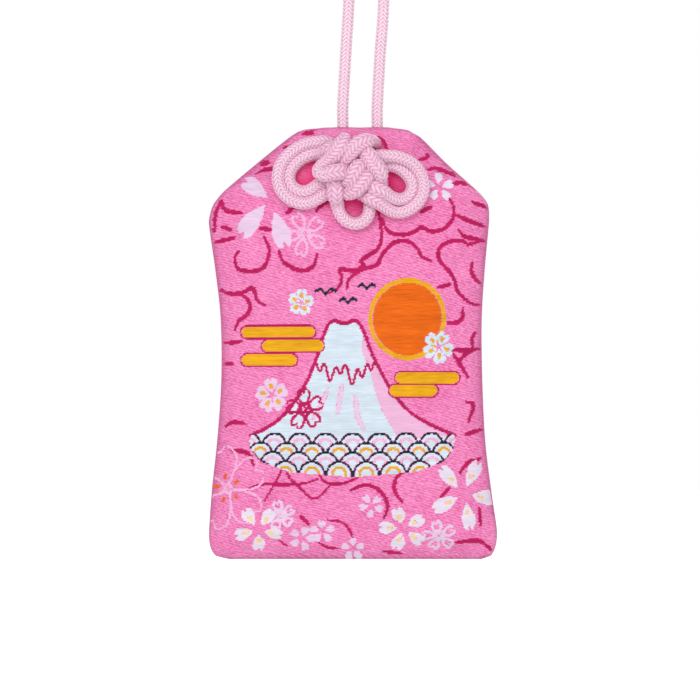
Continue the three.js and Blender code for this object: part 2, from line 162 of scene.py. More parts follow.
class Nodes:
    """A node tree, with short calls for the nodes used here."""

    def __init__(self, owner):
        owner.use_nodes = True
        self.owner = owner
        self.tree = owner.node_tree
        self.shader = self.tree.nodes.get("Principled BSDF") or self.tree.nodes["Background"]

    def add(self, kind, **settings):
        node = self.tree.nodes.new(kind)
        for key, value in settings.items():
            setattr(node, key, value)
        return node

    def put(self, value, socket):
        """Sets a socket to a plain value, or links it to an output."""
        if isinstance(value, (tuple, float, int)):
            socket.default_value = value
        else:
            self.tree.links.new(value, socket)

    def math(self, operation, *values):
        node = self.add("ShaderNodeMath", operation=operation)
        for value, socket in zip(values, node.inputs):
            self.put(value, socket)
        return node.outputs[0]

    def mix(self, factor, first, second):
        node = self.add("ShaderNodeMix", data_type="RGBA")
        for value, socket in ((factor, 0), (first, 6), (second, 7)):
            self.put(value, node.inputs[socket])
        return node.outputs[2]

    def noise(self, scale, detail):
        """Noise at one scale, or at a scale for each axis, in features per metre."""
        vector = self.add("ShaderNodeTexCoord").outputs["Object"]
        node = self.add("ShaderNodeTexNoise")
        node.inputs["Detail"].default_value = detail
        node.inputs["Scale"].default_value = 1.0 if isinstance(scale, tuple) else scale
        if isinstance(scale, tuple):
            mapping = self.add("ShaderNodeMapping")
            mapping.inputs["Scale"].default_value = scale
            self.put(vector, mapping.inputs["Vector"])
            vector = mapping.outputs["Vector"]
        self.put(vector, node.inputs["Vector"])
        return node.outputs["Fac"]

    def scaled(self, value, from_low, from_high, to_low=0.0, to_high=1.0):
        node = self.add("ShaderNodeMapRange")
        for item, socket in zip((value, from_low, from_high, to_low, to_high), node.inputs):
            self.put(item, socket)
        return node.outputs[0]

    def seen_ray(self):
        """1 for the rays that look at the background, straight or through gloss and glass, and else 0."""
        path = self.add("ShaderNodeLightPath").outputs
        shown = self.math("MAXIMUM", path["Is Glossy Ray"], path["Is Transmission Ray"])
        return self.math("MAXIMUM", path["Is Camera Ray"], shown)

    def value_of(self, name):
        return self.add("ShaderNodeAttribute", attribute_name=name).outputs["Fac"]

    def bump(self, height, distance, strength):
        node = self.add("ShaderNodeBump")
        node.inputs["Distance"].default_value = distance
        node.inputs["Strength"].default_value = strength
        self.put(height, node.inputs["Height"])
        self.put(node.outputs["Normal"], self.shader.inputs["Normal"])

    def finish(self, colour, roughness, sheen, specular, tint=(1.0, 1.0, 1.0, 1.0)):
        inputs = self.shader.inputs
        self.put(colour, inputs["Base Color"])
        self.put(roughness, inputs["Roughness"])
        inputs["Specular IOR Level"].default_value = specular
        inputs["Sheen Weight"].default_value = sheen
        inputs["Sheen Roughness"].default_value = 0.4
        inputs["Sheen Tint"].default_value = tint
        return self.owner


def new_material(name):
    return Nodes(bpy.data.materials.new(name))


# Camera, stage and light
FLOOR_Z = MOUTH_Z - POUCH_TALL - 70
FLOOR_HALF = 1500
FLOOR_FRONT = -900


def set_camera():
    """A long lens, level with the middle of the photograph."""
    camera = bpy.data.cameras.new("camera")
    camera.lens = LENS
    camera.sensor_width = SENSOR
    camera.clip_start = 0.01
    obj = bpy.data.objects.new("camera", camera)
    scene.collection.objects.link(obj)
    middle_u, middle_v = px(PHOTO_SIDE / 2, PHOTO_SIDE / 2)
    obj.location = (place(middle_u, -CAMERA_AWAY, middle_v) * MM).tolist()
    obj.rotation_euler = (math.pi / 2, 0, 0)
    scene.camera = obj


def floor_material():
    n = new_material("floor_white")
    tone = n.noise(3.0, 2.0)
    n.put(n.math("MULTIPLY", n.seen_ray(), 0.6), n.shader.inputs["Emission Strength"])
    n.shader.inputs["Emission Color"].default_value = (1.0, 1.0, 1.0, 1.0)
    return n.finish(n.mix(tone, (0.9, 0.9, 0.9, 1.0), (0.87, 0.87, 0.87, 1.0)), 0.9, 0.0, 0.5)


def set_stage():
    corners = [(-FLOOR_HALF, FLOOR_FRONT, FLOOR_Z), (FLOOR_HALF, FLOOR_FRONT, FLOOR_Z),
               (FLOOR_HALF, FLOOR_HALF, FLOOR_Z), (-FLOOR_HALF, FLOOR_HALF, FLOOR_Z)]
    new_object("floor", corners, [(0, 1, 2, 3)], floor_material())
    scene.world = bpy.data.worlds.new("world")
    n = Nodes(scene.world)
    n.shader.inputs["Color"].default_value = (1.0, 1.0, 1.0, 1.0)
    n.put(n.scaled(n.seen_ray(), 0.0, 1.0, 0.55, 1.0), n.shader.inputs["Strength"])


def area_light(name, where, size, power):
    light = bpy.data.lights.new(name, "AREA")
    light.shape = "DISK"
    light.size = size
    light.energy = power
    obj = bpy.data.objects.new(name, light)
    scene.collection.objects.link(obj)
    obj.location = where
    aim = unit(place(0, 0, -POUCH_TALL / 2) * MM - np.array(where))
    obj.rotation_euler = (math.acos(-aim[2]), 0, math.atan2(aim[1], aim[0]) - math.pi / 2)


set_camera()
set_stage()
area_light("key", (-0.35, -0.75, 0.35), 0.5, 3.6)
area_light("fill", (0.6, -0.6, 0.0), 0.7, 1.6)
area_light("rim", (0.15, 0.75, 0.25), 0.7, 3.2)


# Materials
def brocade_ground():
    """Satin ground of short slanted floats, with a deeper rose of painted shade in among the knot's cords and
    darker painted shade along the seam's fold.
    """
    n = new_material("brocade_ground")
    split = n.add("ShaderNodeSeparateXYZ")
    n.put(n.add("ShaderNodeUVMap", uv_map="UVMap").outputs["UV"], split.inputs[0])
    x, y = split.outputs["X"], split.outputs["Y"]
    drift = n.math("MULTIPLY", n.noise((700, 700, 700), 2.0), 1.3)
    sway = n.math("MULTIPLY", n.noise((500, 500, 1100), 2.0), 1.1)
    along = n.math("ADD", drift, n.math("ADD", n.math("MULTIPLY", x, 1.19), n.math("MULTIPLY", y, 0.82)))
    across = n.math("ADD", sway, n.math("ADD", n.math("MULTIPLY", x, 0.61), n.math("MULTIPLY", y, 2.15)))
    lobes = [n.math("SINE", n.math("MULTIPLY", n.math("FRACT", phase), math.pi)) for phase in (along, across)]
    ends = n.math("MULTIPLY_ADD", n.math("POWER", lobes[0], 0.6), 0.45, 0.55)
    height = n.math("MULTIPLY", ends, n.math("POWER", lobes[1], 0.7))
    slub = n.scaled(n.noise((1500, 1500, 4200), 2.0), 0.3, 0.7)
    cloud = n.scaled(n.noise(160.0, 3.0), 0.3, 0.7)
    tone = n.math("MULTIPLY_ADD", cloud, 0.14, -0.06)
    tone = n.math("MULTIPLY_ADD", height, 0.42, tone)
    tone = n.math("MULTIPLY_ADD", slub, 0.5, tone)
    n.bump(height, 0.00006, 0.7)
    colour = n.mix(tone, srgb(205, 55, 132), srgb(254, 161, 212))
    # Painted shade in among the knot's cords: a deeper, redder rose that keeps the weave's speckle
    deep = n.mix(tone, srgb(236, 0, 84), srgb(255, 64, 154))
    colour = n.mix(n.value_of("shade"), colour, deep)
    # Painted shade along the seam's fold: a darker, greyer rose
    colour = n.mix(n.math("MULTIPLY", n.value_of("seam"), 0.45), colour, srgb(160, 52, 108))
    return n.finish(colour, n.scaled(slub, 0.0, 1.0, 0.5, 0.68), 0.12, 0.3, srgb(255, 190, 220))


def weft_thread(name, rgb, depth=0.82):
    """Floss laid across the cloth, streaked along the pick."""
    n = new_material("weft_" + name)
    fibre = n.scaled(n.noise((420, 420, 4600), 3.0), 0.3, 0.7)
    patch = n.scaled(n.noise((90, 90, 900), 2.0), 0.3, 0.7)
    tone = n.math("MULTIPLY_ADD", fibre, 0.6, n.math("MULTIPLY", patch, 0.4))
    dark = srgb(*[c * depth for c in rgb])
    light = srgb(*[c + (255 - c) * 0.06 for c in rgb])
    n.bump(fibre, 0.00003, 0.6)
    return n.finish(n.mix(tone, dark, light), n.scaled(fibre, 0.0, 1.0, 0.5, 0.68), 0.0, 0.2)


def braided_cord():
    """Lustrous cord: a painted highlight on each stitch's crown, painted shade in its grooves, and painted
    pink bounce light where it is knotted.
    """
    n = new_material("braided_cord")
    fibre = n.noise(5200.0, 3.0)
    patch = n.noise(180.0, 2.0)
    tone = n.math("MULTIPLY_ADD", fibre, 0.18, n.value_of("lay"))
    # Painted highlight on the stitch crowns and painted shade in the grooves, set by the stitch relief
    colour = n.mix(n.scaled(tone, 0.0, 1.0), srgb(186, 86, 138), srgb(255, 232, 244))
    colour = n.mix(n.math("MULTIPLY", patch, 0.2), colour, srgb(246, 202, 225))
    # Painted pink light bounced from the cloth, darker and pinker in the knot's pressed middle
    colour = n.mix(n.math("MULTIPLY", n.value_of("warm"), 0.28), colour, srgb(196, 60, 146))
    n.bump(fibre, 0.00003, 0.5)
    return n.finish(colour, n.scaled(fibre, 0.0, 1.0, 0.36, 0.54), 0.25, 0.45, srgb(255, 230, 240))


def plain_cloth(name, dark, light, scale, roughness):
    n = new_material(name)
    fibre = n.noise(scale, 4.0)
    n.bump(fibre, 0.00005, 0.6)
    rough = n.scaled(fibre, 0.0, 1.0, roughness - 0.1, roughness)
    return n.finish(n.mix(fibre, srgb(*dark), srgb(*light)), rough, 0.1, 0.2)


GROUND = brocade_ground()
CORD = braided_cord()
THREADS = {
    "rose": weft_thread("rose", (200, 10, 94)),
    "white": weft_thread("white", (224, 238, 250), 0.88),
    "blush": weft_thread("blush", (240, 228, 245), 0.9),
    "lilac": weft_thread("lilac", (240, 210, 238), 0.9),
    "pale": weft_thread("pale", (246, 190, 226), 0.9),
    "orange": weft_thread("orange", (248, 108, 0)),
    "gold": weft_thread("gold", (250, 182, 10)),
    "straw": weft_thread("straw", (252, 222, 140), 0.9),
    "navy": weft_thread("navy", (8, 22, 44)),
}


def dress_hidden_layers():
    """The layers inside the pouch, which keep their solids."""
    cotton = plain_cloth("interlining", (222, 216, 204), (246, 242, 234), 2600.0, 0.9)
    felt = plain_cloth("felt", (232, 228, 220), (252, 250, 245), 900.0, 0.95)
    paper = plain_cloth("paper", (236, 229, 212), (250, 246, 236), 1400.0, 0.85)
    card = plain_cloth("card", (188, 168, 134), (214, 196, 164), 1800.0, 0.9)
    layers = {"front_interlining": cotton, "back_interlining": cotton, "wadding": felt, "slip_wrapper": paper,
              "prayer_slip": paper, "stiffener_card": card, "seam_thread": THREADS["pale"]}
    for node, material in layers.items():
        slots = frame["nodes"][node].data.materials
        slots.clear()
        slots.append(material)


dress_hidden_layers()


# The pouch's outline, from the bottom up: v, and u at its left and right edges
OUTLINE = [
    (-75.0, -21.4, 22.6), (-74.8, -22.8, 23.6), (-74.2, -23.8, 24.4), (-73.2, -24.4, 24.9),
    (-71.8, -24.7, 25.2), (-69.5, -24.7, 25.2), (-62.7, -24.2, 24.2), (-54.3, -23.3, 23.2),
    (-43.9, -22.6, 22.7), (-33.4, -22.7, 22.6), (-25.0, -23.6, 23.1), (-17.2, -24.7, 23.8),
    (-15.2, -24.6, 23.9), (-13.4, -24.0, 23.7), (-12.0, -23.0, 22.8), (-10.4, -21.4, 21.2),
    (-6.2, -16.4, 16.5), (-2.0, -11.2, 12.3), (-1.0, -9.7, 10.8), (-0.3, -7.8, 8.8), (0.0, -4.6, 6.6),
]
EDGE = even(OUTLINE, 0.25)


def edges(v):
    return np.interp(v, EDGE[:, 0], EDGE[:, 1]), np.interp(v, EDGE[:, 0], EDGE[:, 2])


def outline_ring(grid):
    """The points round the border of a grid, once round."""
    return np.concatenate([grid[0], grid[1:, -1], grid[-1, -2::-1], grid[-2:0:-1, 0]])


# The cloth is a grid of rows and columns, closer together near the seams
COLS, ROWS = 53, 77
col_share = np.linspace(-1, 1, COLS)
COL_AT = 1.25 * col_share - 0.25 * col_share ** 3
row_share = np.linspace(0, 1, ROWS)
ROW_V = POUCH_TALL * (row_share - 0.075 * np.sin(2 * math.pi * row_share) - 1)
left_edge, right_edge = edges(ROW_V)
U = left_edge[:, None] + (right_edge - left_edge)[:, None] * (COL_AT[None] + 1) / 2
V = np.repeat(ROW_V[:, None], COLS, 1)
FLAT = np.stack([U, V], -1)


def edge_distance(points):
    """The distance of flat points from the outline."""
    ring = outline_ring(FLAT)
    found = np.full(points.shape[:-1], np.inf)
    for start, end in zip(ring, np.roll(ring, -1, 0)):
        side = end - start
        share = np.clip((points - start) @ side / (side @ side), 0, 1)
        found = np.minimum(found, np.linalg.norm(points - start - share[..., None] * side, axis=-1))
    return found


def lip(u):
    """Half the gap between the two lips of the mouth: closed, and opened where a strand passes."""
    closed_half = 0.15
    open_more = 0.9
    reach = 2.3
    opened = sum(np.exp(-((u - strand) / reach) ** 4) for strand in STRANDS_U)
    return closed_half + open_more * np.clip(opened, 0, 1)


FROM_EDGE = edge_distance(FLAT)
open_share = smooth(-8.0, -0.8, V) * (1 - smooth(9.0, 12.0, np.abs(U - MOUTH_U)))
edge_half = SEAM_HALF + (lip(U) + 0.05) * open_share
rise = np.sqrt(1 - (1 - np.clip(FROM_EDGE / CROWN, 0, 1)) ** 2)
FORM = edge_half + (HALF_THICK - edge_half) * rise


def simulate():
    """The padded form filled by cloth simulation: the seams stay, and the cloth between them swells."""
    enlarge = 0.01
    last_frame = 18
    faces = grid_faces(ROWS, COLS)
    count = ROWS * COLS
    verts = np.concatenate([place(U, -0.9 * FORM, V).reshape(-1, 3), place(U, 0.9 * FORM, V).reshape(-1, 3)])
    mesh = bpy.data.meshes.new("fill")
    mesh.from_pydata((verts * enlarge).tolist(), [], np.concatenate([faces, faces[:, ::-1] + count]).tolist())
    obj = bpy.data.objects.new("fill", mesh)
    scene.collection.objects.link(obj)
    ring = outline_ring(np.arange(count).reshape(ROWS, COLS))
    held = obj.vertex_groups.new(name="held")
    held.add(np.concatenate([ring, ring + count]).tolist(), 1.0, "REPLACE")
    cloth = obj.modifiers.new("cloth", "CLOTH")
    settings = cloth.settings
    settings.quality = 6
    settings.mass = 0.25
    settings.tension_stiffness = 12
    settings.compression_stiffness = 12
    settings.shear_stiffness = 6
    settings.bending_stiffness = 0.6
    settings.use_pressure = True
    settings.uniform_pressure_force = 2.5
    settings.shrink_min = -0.02
    settings.vertex_group_mass = "held"
    settings.effector_weights.gravity = 0
    cloth.collision_settings.use_collision = False
    cloth.collision_settings.use_self_collision = False
    cloth.point_cache.frame_start = 1
    cloth.point_cache.frame_end = last_frame
    for frame_number in range(1, last_frame + 1):
        scene.frame_set(frame_number)
    filled = obj.evaluated_get(bpy.context.evaluated_depsgraph_get())
    found = np.zeros(2 * count * 3, np.float32)
    filled.data.vertices.foreach_get("co", found)
    bpy.data.objects.remove(obj)
    bpy.data.meshes.remove(mesh)
    scene.frame_set(1)
    return found.reshape(2, ROWS, COLS, 3).astype(float) / enlarge


def puckers(side):
    """Small draws in the cloth along the seams, and a soft unevenness over the middle."""
    draw_deep = 0.16
    draw_at = 1.6
    draw_reach = 1.7
    soft_deep = 0.10
    along = U * 0.55 + V
    wander = 1.7 * np.sin(along * 0.37)
    ripple = np.sin(along * 1.55 + side * 1.3 + wander) * np.sin(along * 0.61 + 0.8 * side)
    fold = draw_deep * ripple * np.exp(-((FROM_EDGE - draw_at) / draw_reach) ** 2)
    soft = soft_deep * np.sin(U * 0.21 + 0.9 + side) * np.sin(V * 0.16 + 0.4)
    return fold + soft * np.clip(FROM_EDGE / 5, 0, 1)


def padded_cloth():
    """The front and the back of the pouch as grids of points."""
    sides = (-1, 1)
    laid = [place(U, side * FORM, V) for side in sides]
    most_slip = 0.5
    most_swell = 0.55
    most_sink = 0.2
    for side, cloth, swollen in zip(sides, laid, simulate()):
        slip = np.clip(swollen - cloth, -most_slip, most_slip)
        depth = np.maximum(side * swollen[..., 1], FORM - most_sink)
        swell = most_swell * (1 - np.exp(-np.maximum(depth - FORM, 0) / most_swell))
        cloth += slip
        cloth[..., 1] = side * (np.minimum(depth, FORM) + swell)
    for side, cloth in zip(sides, laid):
        cloth[..., 1] += side * puckers(side)
    return laid


def sample(grid, row_at, col_at):
    """Smooth values of a grid at places between its rows and columns."""
    row = np.clip(np.floor(row_at).astype(int), 0, ROWS - 2)
    col = np.clip(np.floor(col_at).astype(int), 0, COLS - 2)
    row_weights = spline_weights(row_at - row)
    col_weights = spline_weights(col_at - col)
    total = 0
    for a in range(4):
        near_row = np.clip(row + a - 1, 0, ROWS - 1)
        for b in range(4):
            near_col = np.clip(col + b - 1, 0, COLS - 1)
            total = total + (row_weights[..., a] * col_weights[..., b])[..., None] * grid[near_row, near_col]
    return total


def on_cloth(cloth, u, v):
    """The cloth's points at the flat coordinates u and v."""
    v = np.clip(v, -POUCH_TALL, 0)
    left, right = edges(v)
    share = np.clip((u - left) / (right - left) * 2 - 1, -1, 1)
    return sample(cloth, np.interp(v, ROW_V, np.arange(ROWS)), np.interp(share, COL_AT, np.arange(COLS)))


FRONT, BACK = padded_cloth()


def settle(chains, pitch, step, hold, floor=None):
    """Cords pushed apart until they just touch, smoothed, and held near where they were laid.

    A chain is its points, with the number at each end that stay fixed.
    """
    rounds = 260
    pushes = 3
    ease = 0.25
    laid = [points.copy() for points, first, last in chains]
    sizes = [len(points) for points, first, last in chains]
    owner = np.repeat(np.arange(len(chains)), sizes)
    order = np.concatenate([np.arange(size) for size in sizes])
    free = np.concatenate([(np.arange(size) >= first) & (np.arange(size) < size - last)
                           for size, (points, first, last) in zip(sizes, chains)])
    neighbours = math.ceil(pitch * 1.7 / step)
    skip = (owner[:, None] == owner[None]) & (np.abs(order[:, None] - order[None]) < neighbours)
    starts = np.cumsum(sizes)[:-1]
    every = np.concatenate(laid)
    for _ in range(rounds):
        smoothed = every.copy()
        for points, first_laid in zip(np.split(smoothed, starts), laid):
            points[1:-1] += ease * ((points[:-2] + points[2:]) / 2 - points[1:-1])
            points += hold * (first_laid - points)
        every = np.where(free[:, None], smoothed, every)
        for _ in range(pushes):
            gap = every[:, None] - every[None]
            distance = np.linalg.norm(gap, axis=-1)
            push = np.where(skip, 0, np.clip(pitch - distance, 0, None)) / np.maximum(distance, 1e-6)
            touching = np.maximum((push > 0).sum(1), 1)
            move = 0.5 * (gap * push[..., None]).sum(1) / touching[:, None]
            every = every + np.where(free[:, None], move, 0)
            if floor is not None:
                top = floor(every[:, 0] - POUCH_X, every[:, 2] - MOUTH_Z)
                every[:, 1] = np.where(free, np.minimum(every[:, 1], top), every[:, 1])
    return np.split(every, starts)


# The knot's cord from its right hole to its left one: u, v and layer
KNOT_ROUTE = [
    (3.3, -2.6, 1.5), (2.2, -2.9, 2.0), (1.0, -3.6, 2.1), (-0.2, -4.7, 2.0), (-1.1, -6.2, 1.6),
    (-1.9, -7.8, 0.9), (-2.4, -9.4, 0.8), (-2.5, -11.3, 1.1), (-2.5, -13.2, 0.4), (-2.2, -15.0, 0.0),
    (-1.1, -16.5, 0.0), (0.5, -17.1, 0.0), (2.1, -16.7, 0.0), (3.1, -15.4, 0.0), (3.1, -13.9, 0.0),
    (3.5, -12.5, 0.0), (4.3, -11.2, 0.4), (4.6, -9.6, 1.6), (4.1, -7.6, 2.1), (3.1, -6.1, 2.0),
    (1.9, -5.0, 1.2), (0.6, -4.3, 0.8), (-1.1, -4.0, 0.8), (-3.1, -4.2, 0.7), (-5.2, -4.6, 0.0),
    (-7.3, -5.0, 0.0), (-9.2, -5.9, 0.0), (-10.8, -7.4, 0.0), (-11.2, -9.3, 0.0), (-10.5, -10.9, 0.0),
    (-8.7, -11.6, 0.0), (-6.9, -11.3, 0.0), (-5.5, -10.3, 0.0), (-4.3, -9.5, 0.0), (-2.9, -9.3, 0.0),
    (-1.4, -9.4, 1.0), (0.1, -8.3, 2.1), (1.5, -6.9, 2.0), (2.8, -6.0, 1.0), (4.2, -5.7, 0.8),
    (5.9, -5.5, 0.8), (8.0, -5.8, 0.7), (10.1, -6.7, 0.4), (11.8, -8.2, 0.1), (12.6, -9.8, 0.0),
    (12.3, -11.9, 0.0), (11.1, -13.7, 0.0), (9.4, -14.8, 0.0), (7.8, -15.1, 0.1), (6.1, -14.4, 0.6),
    (4.5, -12.9, 1.1), (2.9, -11.5, 0.9), (1.4, -10.2, 0.2), (0.0, -8.9, 0.0),
    (-1.3, -7.4, 0.0), (-2.4, -5.6, 0.0), (-3.3, -3.8, 0.0), (-4.6, -2.9, 0.0),
    (-6.2, -2.8, 0.0), (-7.9, -3.1, 0.0), (-10.0, -4.2, 0.2), (-11.9, -6.5, 0.4),
    (-12.6, -8.9, 0.5), (-12.0, -11.0, 0.5), (-10.6, -12.6, 0.4), (-8.7, -13.5, 0.3), (-7.2, -13.3, 0.2),
    (-5.7, -12.2, 0.1), (-4.4, -11.1, 0.0), (-2.7, -11.0, 0.0), (-1.2, -11.1, 0.9), (0.2, -10.7, 1.8),
    (1.8, -9.9, 2.1), (3.2, -8.7, 1.5), (4.6, -7.2, 0.4), (6.4, -6.4, 0.0), (8.6, -6.9, 0.0),
    (10.3, -8.8, 0.0), (10.7, -10.9, 0.0), (9.7, -12.5, 0.0), (7.9, -12.9, 0.4), (6.1, -12.0, 1.1),
    (4.3, -10.7, 1.6), (2.9, -9.8, 0.8), (1.6, -9.0, 0.8), (0.3, -8.5, 0.8), (-1.0, -8.4, 1.2),
    (-2.3, -8.4, 1.9), (-3.6, -8.5, 2.1), (-5.0, -8.7, 2.0), (-6.3, -8.2, 1.7), (-5.2, -7.2, 1.4),
    (-3.7, -6.2, 1.6), (-2.5, -4.8, 2.0), (-1.7, -3.5, 1.9), (-1.1, -2.5, 1.4),
]
# Its two ends inside the pouch: u, y and v, out of the right hole and back into the left one
KNOT_OUT = [(4.3, -2.2, -2.9), (4.1, -3.6, -2.85), (3.9, -4.6, -2.75)]
KNOT_IN = [(-1.5, -4.6, -2.75), (-1.5, -3.6, -2.85), (-1.5, -2.2, -2.9)]
KNOT_LAYER = 1.75
KNOT_STEP = 0.7


def knot_floor(u, v):
    return on_cloth(FRONT, np.clip(u, -14, 14), v)[:, 1] - KNOT_R * 0.9


def knot_line():
    """The knot's cord, laid along its given route and then settled on the cloth and against itself."""
    lowest = -HALF_THICK - KNOT_R
    route = KNOT_OUT + [(u, lowest - layer * KNOT_LAYER, v) for u, v, layer in KNOT_ROUTE] + KNOT_IN
    laid = even([place(*point) for point in route], KNOT_STEP)
    fixed = len(KNOT_OUT)
    return settle([(laid, fixed, fixed)], 2 * KNOT_R * 0.96, KNOT_STEP, 0.08, knot_floor)[0]


KNOT_LINE = knot_line()


def knot_shade(points):
    """How deep the front cloth lies in among the knot's cords, from 0 to 1: the share of painted shade on it.
    """
    reach = 2.6
    near = np.zeros(len(points))
    for spot in KNOT_LINE:
        away = points - spot
        near += np.exp(-(away[:, 0] ** 2 + away[:, 2] ** 2) / reach ** 2)
    below_mouth = 1 - smooth(-4.4, -3.0, points[:, 2] - MOUTH_Z)
    return smooth(5.5, 15.0, near) * below_mouth * (points[:, 1] < 0)


def pouch_skin():
    """Front and back cloth, joined by a folded seam that opens into the mouth at the top."""
    finer = 3
    rows, cols = (ROWS - 1) * finer + 1, (COLS - 1) * finer + 1
    row_at, col_at = np.meshgrid(np.arange(rows) / finer, np.arange(cols) / finer, indexing="ij")
    front, back, flat = [sample(grid, row_at, col_at) for grid in (FRONT, BACK, FLAT)]
    # How near each point lies to the seam, for the painted shade along its fold; the turned-in fold loops
    # take it in full
    seam_near = np.exp(-(sample(FROM_EDGE[..., None], row_at, col_at) / SEAM_SHADE_REACH) ** 2).ravel()
    count = rows * cols
    quads = grid_faces(rows, cols)
    verts = [front.reshape(-1, 3), back.reshape(-1, 3)]
    uvs = [flat.reshape(-1, 2), flat.reshape(-1, 2) * [-1, 1]]
    faces = [quads, quads[:, ::-1] + count]
    border = outline_ring(np.arange(count).reshape(rows, cols))
    ring = outline_ring(flat)
    ahead = np.roll(ring, -1, 0) - np.roll(ring, 1, 0)
    inward = unit(np.stack([-ahead[:, 1], ahead[:, 0]], -1))
    mouth = smooth(-1.1, -0.25, ring[:, 1]) * (1 - smooth(8.0, 10.5, np.abs(ring[:, 0] - MOUTH_U)))
    fold = [(-0.10, 0.22), (-0.06, 0.5), (0.22, 0.68), (0.55 + 4.5 * mouth, 0.72)]
    loops = [border]
    start = 2 * count
    for cloth, side, steps in ((front, -1, fold), (back, 1, fold[::-1])):
        edge = outline_ring(cloth)
        for draw, step_in in steps:
            draw = np.broadcast_to(draw, len(border))
            turned = edge.copy()
            turned[:, 0] += inward[:, 0] * draw
            turned[:, 2] += inward[:, 1] * draw
            turned[:, 1] = side * np.maximum(side * edge[:, 1] - step_in, 0.1)
            verts.append(turned)
            uvs.append(ring + inward * (1.2 * draw + 0.6)[:, None])
            loops.append(start + np.arange(len(border)))
            start += len(border)
    loops.append(border + count)
    for low, high in zip(loops[:-1], loops[1:]):
        faces.append(np.stack([low, high, np.roll(high, -1), np.roll(low, -1)], -1))
    verts = np.concatenate(verts)
    seam = np.concatenate([seam_near, seam_near, np.ones(len(verts) - 2 * count)])
    skin = new_object("pouch_skin", verts, np.concatenate(faces).tolist(), GROUND, np.concatenate(uvs),
                      shade=knot_shade(verts), seam=seam)
    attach(skin, "pouch")
    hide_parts("front_panel", "back_panel")


pouch_skin()


# Woven figures, painted on a loom grid of cells and picks and then woven as runs of coloured weft
CELL = 0.2
PICK = 0.22
CELL_U = np.arange(-25.5, 25.6, CELL)
PICK_V = np.arange(-74.9, 0.0, PICK)
GRID_U, GRID_V = np.meshgrid(CELL_U, PICK_V)
COLOURS = ["", *THREADS]
LINE = 0.66
BRANCH_LINE = 0.44
# A flower's styles: where a petal begins and where its mark is, by the radius, and the width of an outline
PETAL_STYLES = {"parted": (0.22, 0.52, 0), "spray": (0.08, 0.5, 0), "whole": (0.12, 0.52, 0),
                "outline": (0.02, 0.5, 0.5), "fine outline": (0.02, 0.28, 0.34)}


class Loom:
    """One side's cloth: the number of the weft colour in each cell, or 0 for the ground."""

    def __init__(self):
        self.cells = np.zeros(GRID_U.shape, np.int8)

    def paint(self, mask, colour):
        self.cells[mask] = COLOURS.index(colour)

    def stroke(self, points, width, colour, swell=0.0):
        """A line through flat points, which may swell towards its middle."""
        line = even([(u, v, 0) for u, v in points], 0.4)[:, :2]
        mask = np.zeros(GRID_U.shape, bool)
        for k, (start, end) in enumerate(zip(line[:-1], line[1:])):
            side = end - start
            away_u, away_v = GRID_U - start[0], GRID_V - start[1]
            share = np.clip((away_u * side[0] + away_v * side[1]) / (side @ side), 0, 1)
            half = width / 2 * (1 + swell * (math.sin(math.pi * (k + 0.5) / (len(line) - 1)) - 0.5))
            mask |= np.hypot(away_u - share * side[0], away_v - share * side[1]) < half
        self.paint(mask, colour)

    def disc(self, u, v, radius, colour):
        self.paint(np.hypot(GRID_U - u, GRID_V - v) < radius, colour)

    def polygon(self, points, colour):
        inside = np.zeros(GRID_U.shape, bool)
        for (u0, v0), (u1, v1) in zip(points, points[1:] + points[:1]):
            if v0 != v1:
                beside = GRID_U < (u1 - u0) * (GRID_V - v0) / (v1 - v0) + u0
                inside ^= ((v0 > GRID_V) != (v1 > GRID_V)) & beside
        self.paint(inside, colour)
        return inside

    def flower(self, u, v, radius, turn, style, wide, colour, mark=None, petals=range(5)):
        """Notched petals, five unless fewer are named, filled in or drawn as an outline."""
        begin, mark_at, line = PETAL_STYLES[style]
        thick = line / radius
        widest = 0.7
        for petal in petals:
            angle = math.radians(turn + 72 * petal)
            along = ((GRID_U - u) * math.cos(angle) + (GRID_V - v) * math.sin(angle)) / radius
            beside = np.abs((GRID_V - v) * math.cos(angle) - (GRID_U - u) * math.sin(angle)) / radius
            grow = np.sin(np.clip((along - begin) / (widest - begin), 0, 1) * math.pi / 2)
            close = np.sqrt(np.clip(1 - ((along - widest) / (1 - widest)) ** 2, 0, 1))
            half = wide * np.where(along < widest, grow, close)
            tip = 1 - 0.16 * np.clip(1 - beside / (0.4 * wide), 0, 1)
            body = (along > begin) & (along < tip) & (beside < half)
            if line:
                body &= ~((along > begin + 2.5 * thick) & (along < tip - thick) & (beside < half - thick))
            self.paint(body, colour)
            if mark:
                self.paint((np.abs(along - mark_at) * radius < 0.45) & (beside * radius < 0.3), mark)


